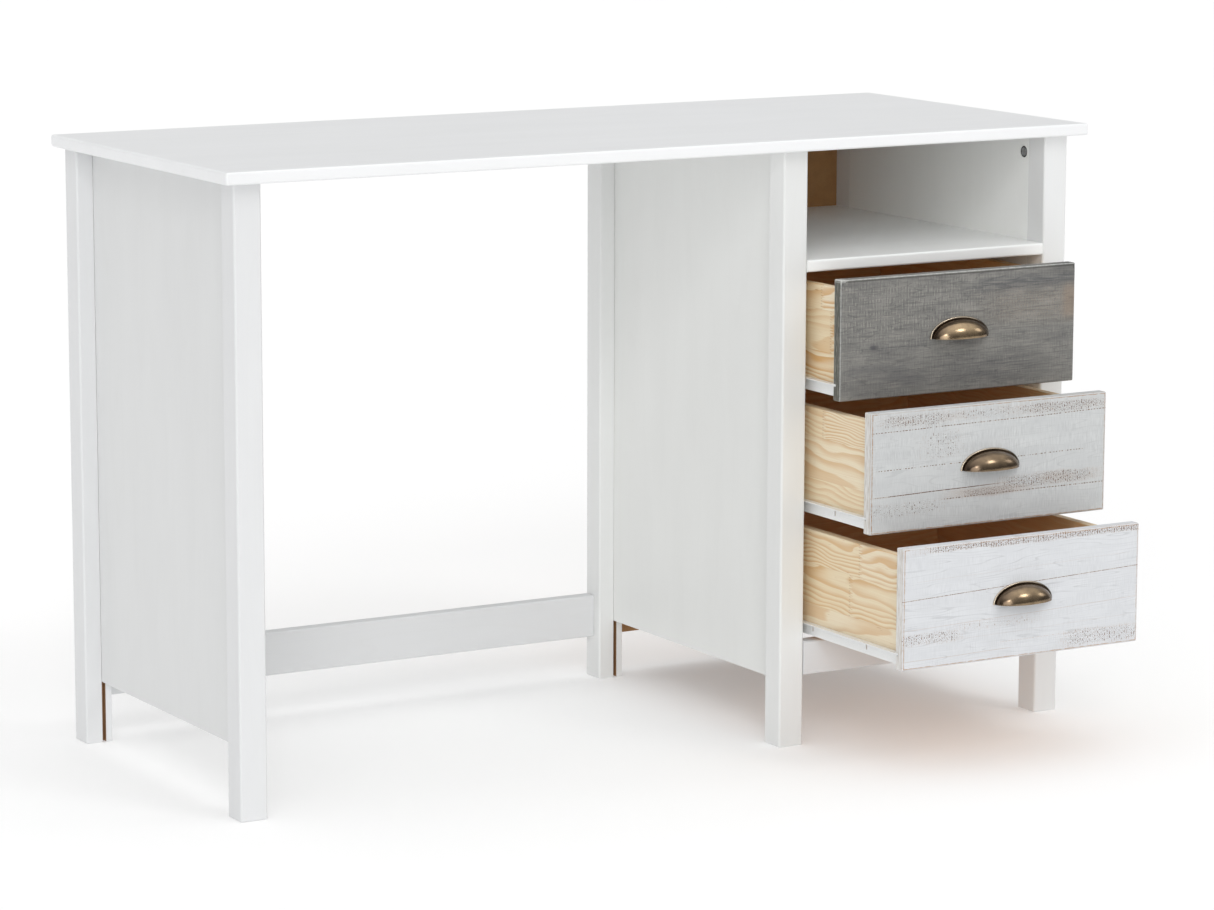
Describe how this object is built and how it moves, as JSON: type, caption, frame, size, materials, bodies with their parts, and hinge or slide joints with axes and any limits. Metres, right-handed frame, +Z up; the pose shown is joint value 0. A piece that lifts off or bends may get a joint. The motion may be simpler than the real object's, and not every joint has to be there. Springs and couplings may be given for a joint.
{
  "type": "writing desk with drawers",
  "caption": "White painted wooden writing desk with square legs, a kneehole, an open compartment and a stack of sliding drawers with cup pulls on roller slides.",
  "frame": {"origin": "on the floor, in the middle of the footprint of the desk with its drawers drawn out as stored", "axes": "+X to the right as seen from the front, towards the drawers; +Y from the front to the back; +Z up"},
  "size_m": [1.2, 0.7172, 0.76],
  "materials": {
    "white_painted_wood": "satin white paint",
    "grey_sawn_wood": "matt grey, saw-marked",
    "pale_grey_washed_wood": "matt pale grey wash, saw-marked",
    "white_washed_wood": "matt white wash, saw-marked",
    "natural_pine": "clear satin lacquer",
    "brown_hardboard": "smooth brown hardboard",
    "white_coated_steel": "white epoxy coat",
    "roller_plastic": "ivory moulded plastic",
    "aged_bronze": "antique bronze plating, rubbed highlights",
    "zinc_alloy": "dark zinc die casting"
  },
  "bodies": {
    "desk_frame": {"tabletop": "white_painted_wood", "left_front_leg": "white_painted_wood", "left_rear_leg": "white_painted_wood", "middle_front_leg": "white_painted_wood", "middle_rear_leg": "white_painted_wood", "right_front_leg": "white_painted_wood", "right_rear_leg": "white_painted_wood", "left_side_panel": "white_painted_wood", "middle_side_panel": "white_painted_wood", "right_side_panel": "white_painted_wood", "rear_stretcher": "white_painted_wood", "front_rail": "white_painted_wood", "shelf": "white_painted_wood", "back_panel": "brown_hardboard", "left_front_cam_lock": "zinc_alloy", "left_rear_cam_lock": "zinc_alloy", "right_front_cam_lock": "zinc_alloy", "right_rear_cam_lock": "zinc_alloy", "upper_left_cabinet_slide": "white_coated_steel", "upper_right_cabinet_slide": "white_coated_steel", "middle_left_cabinet_slide": "white_coated_steel", "middle_right_cabinet_slide": "white_coated_steel", "lower_left_cabinet_slide": "white_coated_steel", "lower_right_cabinet_slide": "white_coated_steel"},
    "upper_drawer": {"upper_drawer_front": "grey_sawn_wood", "upper_drawer_left_side": "natural_pine", "upper_drawer_right_side": "natural_pine", "upper_drawer_back": "natural_pine", "upper_drawer_bottom": "brown_hardboard", "upper_drawer_pull": "aged_bronze", "upper_left_drawer_slide": "white_coated_steel", "upper_right_drawer_slide": "white_coated_steel"},
    "middle_drawer": {"middle_drawer_front": "pale_grey_washed_wood", "middle_drawer_left_side": "natural_pine", "middle_drawer_right_side": "natural_pine", "middle_drawer_back": "natural_pine", "middle_drawer_bottom": "brown_hardboard", "middle_drawer_pull": "aged_bronze", "middle_left_drawer_slide": "white_coated_steel", "middle_right_drawer_slide": "white_coated_steel"},
    "lower_drawer": {"lower_drawer_front": "white_washed_wood", "lower_drawer_left_side": "natural_pine", "lower_drawer_right_side": "natural_pine", "lower_drawer_back": "natural_pine", "lower_drawer_bottom": "brown_hardboard", "lower_drawer_pull": "aged_bronze", "lower_left_drawer_slide": "white_coated_steel", "lower_right_drawer_slide": "white_coated_steel"},
    "upper_left_cabinet_roller": {"upper_left_cabinet_roller": "roller_plastic"},
    "upper_left_drawer_roller": {"upper_left_drawer_roller": "roller_plastic"},
    "upper_right_cabinet_roller": {"upper_right_cabinet_roller": "roller_plastic"},
    "upper_right_drawer_roller": {"upper_right_drawer_roller": "roller_plastic"},
    "middle_left_cabinet_roller": {"middle_left_cabinet_roller": "roller_plastic"},
    "middle_left_drawer_roller": {"middle_left_drawer_roller": "roller_plastic"},
    "middle_right_cabinet_roller": {"middle_right_cabinet_roller": "roller_plastic"},
    "middle_right_drawer_roller": {"middle_right_drawer_roller": "roller_plastic"},
    "lower_left_cabinet_roller": {"lower_left_cabinet_roller": "roller_plastic"},
    "lower_left_drawer_roller": {"lower_left_drawer_roller": "roller_plastic"},
    "lower_right_cabinet_roller": {"lower_right_cabinet_roller": "roller_plastic"},
    "lower_right_drawer_roller": {"lower_right_drawer_roller": "roller_plastic"}
  },
  "joints": [
    {"name": "upper_drawer_travel", "type": "slide", "parent": "desk_frame", "child": "upper_drawer", "axis": [0, -1, 0], "range_m": [-0.072, 0.228]},
    {"name": "middle_drawer_travel", "type": "slide", "parent": "desk_frame", "child": "middle_drawer", "axis": [0, -1, 0], "range_m": [-0.142, 0.158]},
    {"name": "lower_drawer_travel", "type": "slide", "parent": "desk_frame", "child": "lower_drawer", "axis": [0, -1, 0], "range_m": [-0.215, 0.085]},
    {"name": "upper_left_cabinet_roller_spin", "type": "hinge", "parent": "desk_frame", "child": "upper_left_cabinet_roller", "pos_m": [0.1978, -0.09235, 0.453], "axis": [1, 0, 0], "range_deg": [-517.66, 1634.93]},
    {"name": "upper_left_drawer_roller_spin", "type": "hinge", "parent": "upper_drawer", "child": "upper_left_drawer_roller", "pos_m": [0.1998, 0.20765, 0.4525], "axis": [1, 0, 0], "range_deg": [-517.66, 1634.93]},
    {"name": "upper_right_cabinet_roller_spin", "type": "hinge", "parent": "desk_frame", "child": "upper_right_cabinet_roller", "pos_m": [0.5417, -0.09235, 0.453], "axis": [1, 0, 0], "range_deg": [-517.66, 1634.93]},
    {"name": "upper_right_drawer_roller_spin", "type": "hinge", "parent": "upper_drawer", "child": "upper_right_drawer_roller", "pos_m": [0.5397, 0.20765, 0.4525], "axis": [1, 0, 0], "range_deg": [-517.66, 1634.93]},
    {"name": "middle_left_cabinet_roller_spin", "type": "hinge", "parent": "desk_frame", "child": "middle_left_cabinet_roller", "pos_m": [0.1978, -0.09235, 0.299], "axis": [1, 0, 0], "range_deg": [-1019, 1133.59]},
    {"name": "middle_left_drawer_roller_spin", "type": "hinge", "parent": "middle_drawer", "child": "middle_left_drawer_roller", "pos_m": [0.1998, 0.13765, 0.2985], "axis": [1, 0, 0], "range_deg": [-1019, 1133.59]},
    {"name": "middle_right_cabinet_roller_spin", "type": "hinge", "parent": "desk_frame", "child": "middle_right_cabinet_roller", "pos_m": [0.5417, -0.09235, 0.299], "axis": [1, 0, 0], "range_deg": [-1019, 1133.59]},
    {"name": "middle_right_drawer_roller_spin", "type": "hinge", "parent": "middle_drawer", "child": "middle_right_drawer_roller", "pos_m": [0.5397, 0.13765, 0.2985], "axis": [1, 0, 0], "range_deg": [-1019, 1133.59]},
    {"name": "lower_left_cabinet_roller_spin", "type": "hinge", "parent": "desk_frame", "child": "lower_left_cabinet_roller", "pos_m": [0.1978, -0.09235, 0.145], "axis": [1, 0, 0], "range_deg": [-1541.82, 610.77]},
    {"name": "lower_left_drawer_roller_spin", "type": "hinge", "parent": "lower_drawer", "child": "lower_left_drawer_roller", "pos_m": [0.1998, 0.06465, 0.1445], "axis": [1, 0, 0], "range_deg": [-1541.82, 610.77]},
    {"name": "lower_right_cabinet_roller_spin", "type": "hinge", "parent": "desk_frame", "child": "lower_right_cabinet_roller", "pos_m": [0.5417, -0.09235, 0.145], "axis": [1, 0, 0], "range_deg": [-1541.82, 610.77]},
    {"name": "lower_right_drawer_roller_spin", "type": "hinge", "parent": "lower_drawer", "child": "lower_right_drawer_roller", "pos_m": [0.5397, 0.06465, 0.1445], "axis": [1, 0, 0], "range_deg": [-1541.82, 610.77]}
  ],
  "couplings": [
    {"joint": "upper_left_cabinet_roller_spin", "follows": "upper_drawer_travel", "rad_per_m": 125},
    {"joint": "upper_left_drawer_roller_spin", "follows": "upper_drawer_travel", "rad_per_m": 125},
    {"joint": "upper_right_cabinet_roller_spin", "follows": "upper_drawer_travel", "rad_per_m": 125},
    {"joint": "upper_right_drawer_roller_spin", "follows": "upper_drawer_travel", "rad_per_m": 125},
    {"joint": "middle_left_cabinet_roller_spin", "follows": "middle_drawer_travel", "rad_per_m": 125},
    {"joint": "middle_left_drawer_roller_spin", "follows": "middle_drawer_travel", "rad_per_m": 125},
    {"joint": "middle_right_cabinet_roller_spin", "follows": "middle_drawer_travel", "rad_per_m": 125},
    {"joint": "middle_right_drawer_roller_spin", "follows": "middle_drawer_travel", "rad_per_m": 125},
    {"joint": "lower_left_cabinet_roller_spin", "follows": "lower_drawer_travel", "rad_per_m": 125},
    {"joint": "lower_left_drawer_roller_spin", "follows": "lower_drawer_travel", "rad_per_m": 125},
    {"joint": "lower_right_cabinet_roller_spin", "follows": "lower_drawer_travel", "rad_per_m": 125},
    {"joint": "lower_right_drawer_roller_spin", "follows": "lower_drawer_travel", "rad_per_m": 125}
  ]
}
